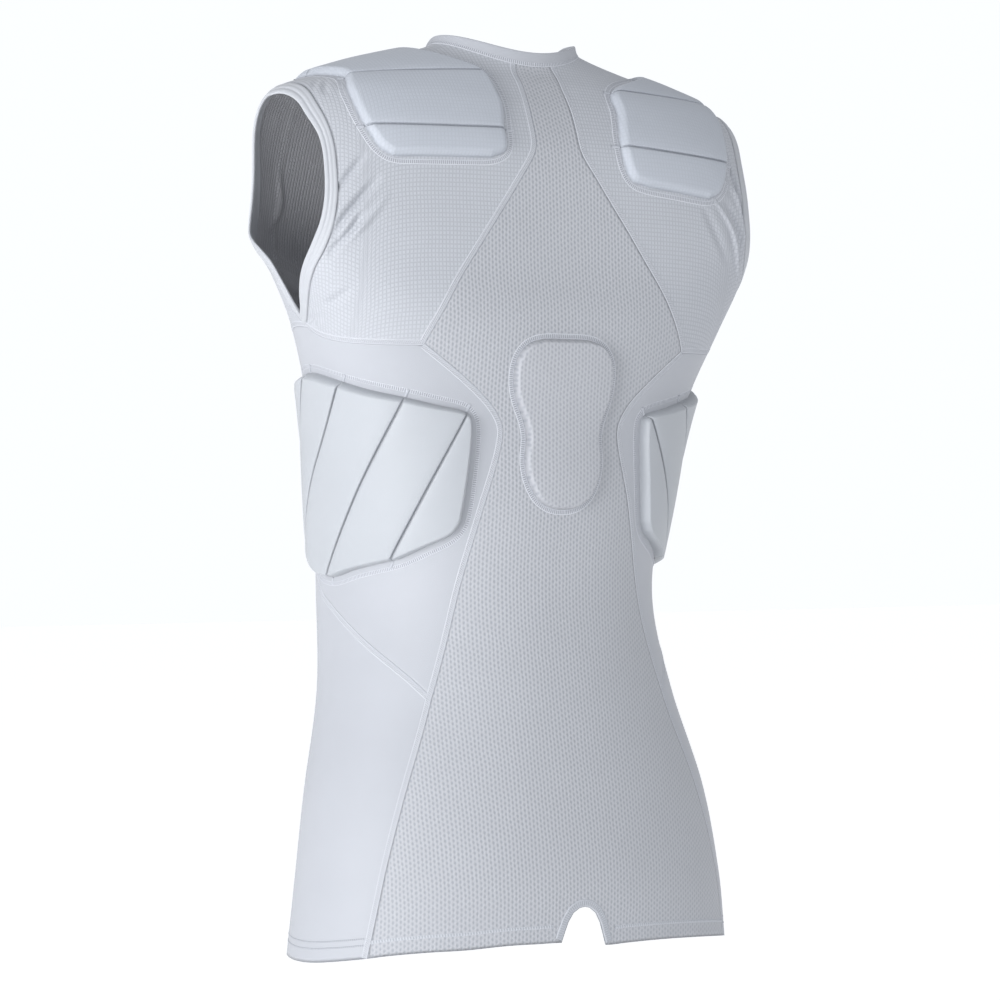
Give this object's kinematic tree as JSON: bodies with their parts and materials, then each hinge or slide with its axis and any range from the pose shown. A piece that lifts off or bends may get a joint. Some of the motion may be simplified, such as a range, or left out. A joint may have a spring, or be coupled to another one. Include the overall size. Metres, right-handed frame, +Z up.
{
  "type": "padded sleeveless shirt",
  "caption": "Sleeveless close-fitting shirt with a mesh back, foam pads on shoulders, ribs and spine, bound armholes, a neck band and an arched hem notch.",
  "frame": {"origin": "midway between the two shoulders, where the wearer's shoulders hold the shirt", "axes": "+Z up, the front faces -Y, and the wearer's left is +X"},
  "size_m": [0.4138, 0.2506, 0.7351],
  "materials": {
    "honeycomb_mesh": "pale grey honeycomb mesh knit",
    "grid_knit": "pale grey knit with a fine square grid",
    "plain_knit": "smooth pale grey stretch knit",
    "trim_knit": "folded stretch binding",
    "plain_pad": "foam under smooth stretch knit",
    "mesh_pad": "foam under honeycomb mesh",
    "grid_pad": "foam under fine grid knit"
  },
  "bodies": {
    "root": {"back_mesh_panel": "honeycomb_mesh", "back_yoke_left": "grid_knit", "back_yoke_right": "grid_knit", "front_yoke": "grid_knit", "side_panel_left": "plain_knit", "side_panel_right": "plain_knit", "front_body": "plain_knit", "armhole_binding_left": "trim_knit", "armhole_binding_right": "trim_knit", "neck_band": "trim_knit", "rib_pad_left": "plain_pad", "rib_pad_right": "plain_pad", "spine_pad": "mesh_pad", "shoulder_pad_left": "grid_pad", "shoulder_pad_right": "grid_pad"}
  },
  "joints": []
}
